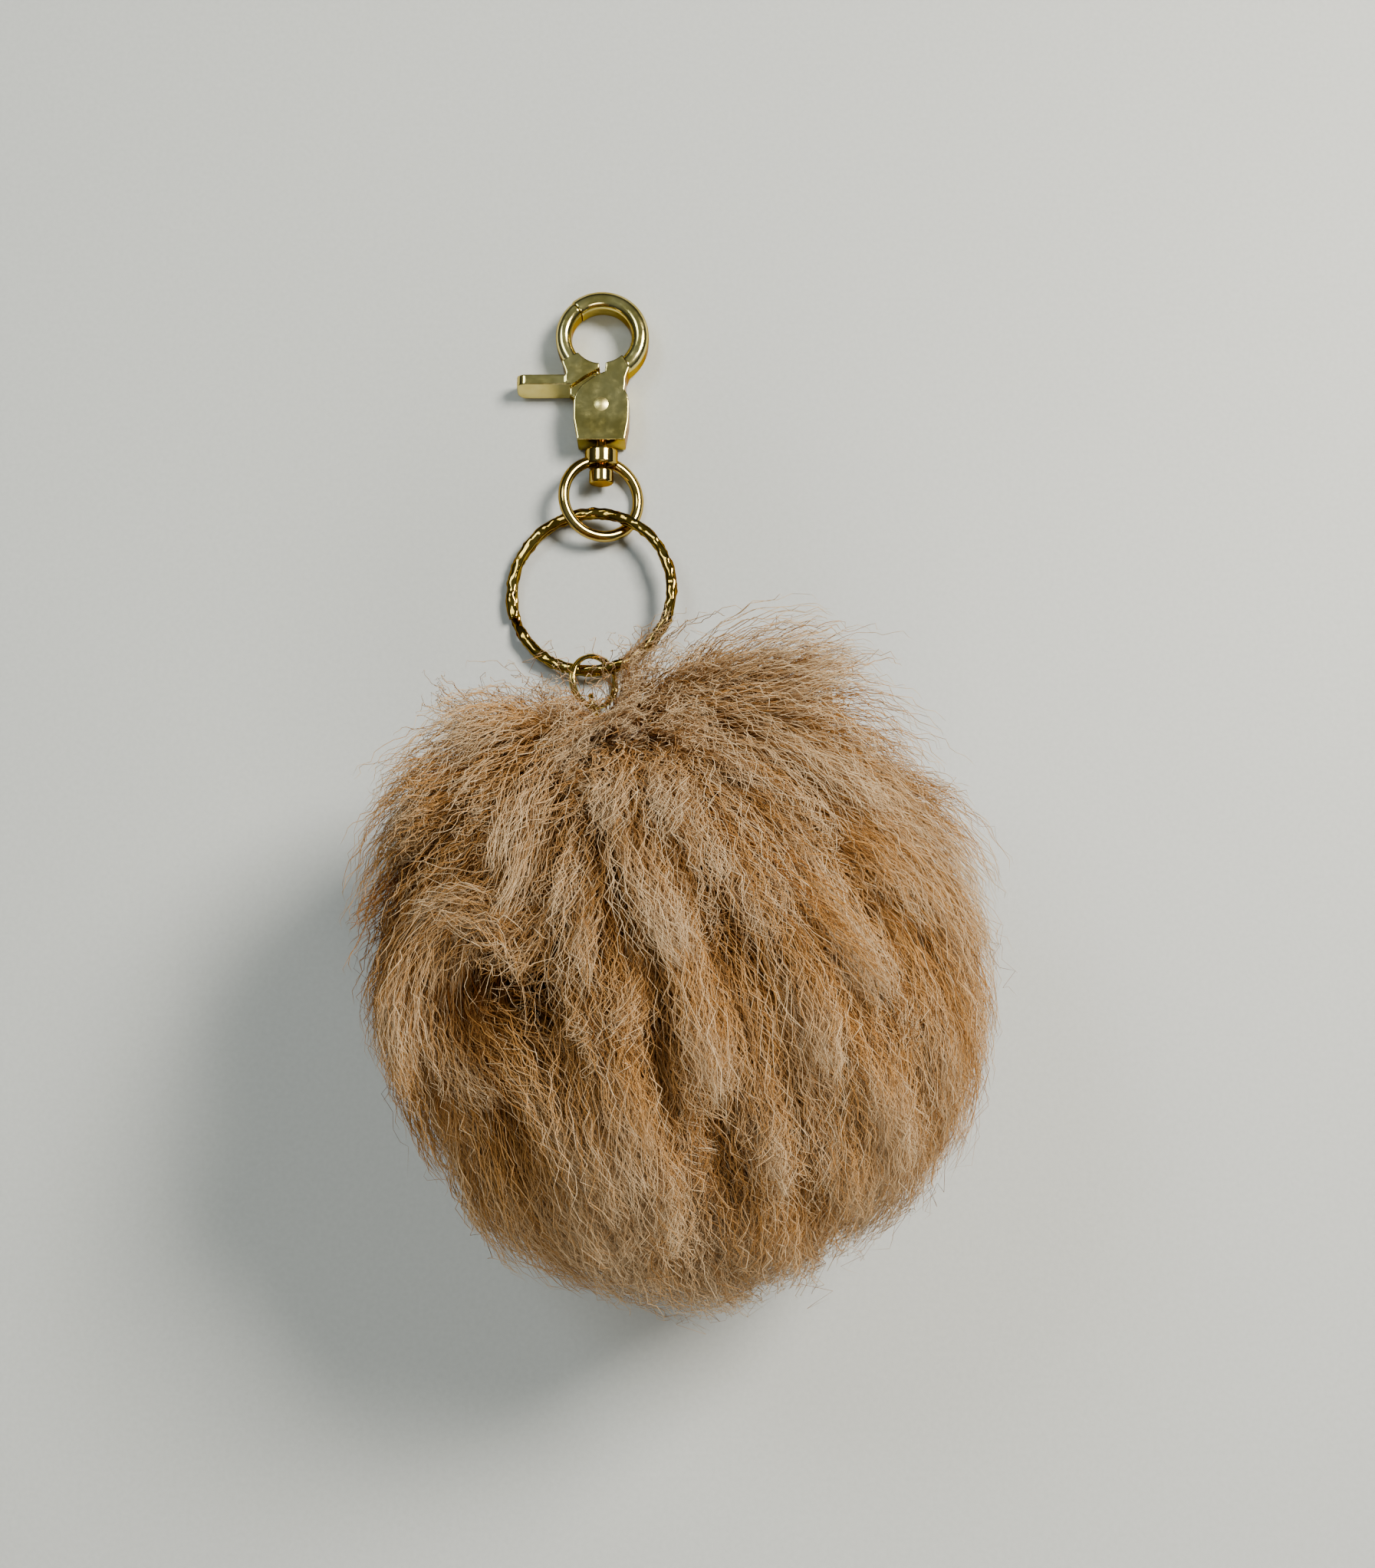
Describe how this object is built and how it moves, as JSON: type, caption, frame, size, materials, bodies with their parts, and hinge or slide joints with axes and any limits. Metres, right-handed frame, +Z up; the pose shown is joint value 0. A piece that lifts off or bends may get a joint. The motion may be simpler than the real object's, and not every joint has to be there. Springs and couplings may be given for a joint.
{
  "type": "plush keychain",
  "caption": "Fur pompom key charm with a swivel snap hook, a split key ring and a small jump ring at the neck of the ball.",
  "frame": {"origin": "bottom centre of the whole charm's box, on the surface it lies on", "axes": "+Z up from the surface; +Y along the charm towards the snap hook, with the fur ball towards -Y; +X to the right as seen from above"},
  "size_m": [0.08, 0.1434, 0.075],
  "materials": {
    "gold_plate": "polished plate with fine wear",
    "hammered_gold": "hammered polished plate",
    "spring_steel": "plain",
    "thread": "waxed thread",
    "pelt": "soft backing",
    "stuffing": "polyester fibre",
    "fur": "long crimped pile"
  },
  "bodies": {
    "clasp": {"clasp_body": "gold_plate", "trigger_rivet": "gold_plate", "swivel_post": "gold_plate"},
    "trigger": {"trigger": "gold_plate", "trigger_spring": "spring_steel"},
    "swivel": {"swivel_eye": "gold_plate"},
    "key_ring": {"key_ring": "hammered_gold"},
    "jump_ring": {"jump_ring": "gold_plate"},
    "pompom": {"eye_pin": "gold_plate", "pin_washer": "spring_steel", "gather_thread": "thread", "pelt_skin": "pelt", "stuffing_core": "stuffing", "fur_pile": "fur"}
  },
  "joints": [
    {"name": "trigger_pivot", "type": "hinge", "parent": "clasp", "child": "trigger", "pos_m": [-0.0113, 0.0544, 0.00275], "axis": [0, 0, 1], "range_deg": [0, 24], "stiffness_Nm_per_rad": 0.004, "springref_deg": -20.05},
    {"name": "swivel_spin", "type": "hinge", "parent": "clasp", "child": "swivel", "pos_m": [-0.0113, 0.0469, 0.00275], "axis": [0, 1, 0], "continuous": true},
    {"name": "key_ring_swing", "type": "hinge", "parent": "swivel", "child": "key_ring", "pos_m": [-0.0113, 0.0381, 0.00277], "axis": [0.9081, -0.16, 0.387], "range_deg": [-80, 80]},
    {"name": "jump_ring_slide", "type": "hinge", "parent": "key_ring", "child": "jump_ring", "pos_m": [-0.0126, 0.027, 0.00275], "axis": [-0.1392, 0, 0.9903], "range_deg": [-45, 45]},
    {"name": "pompom_swing", "type": "hinge", "parent": "jump_ring", "child": "pompom", "pos_m": [-0.01215, 0.01007, 0.003], "axis": [1, 0, 0], "range_deg": [-40, 90]}
  ]
}
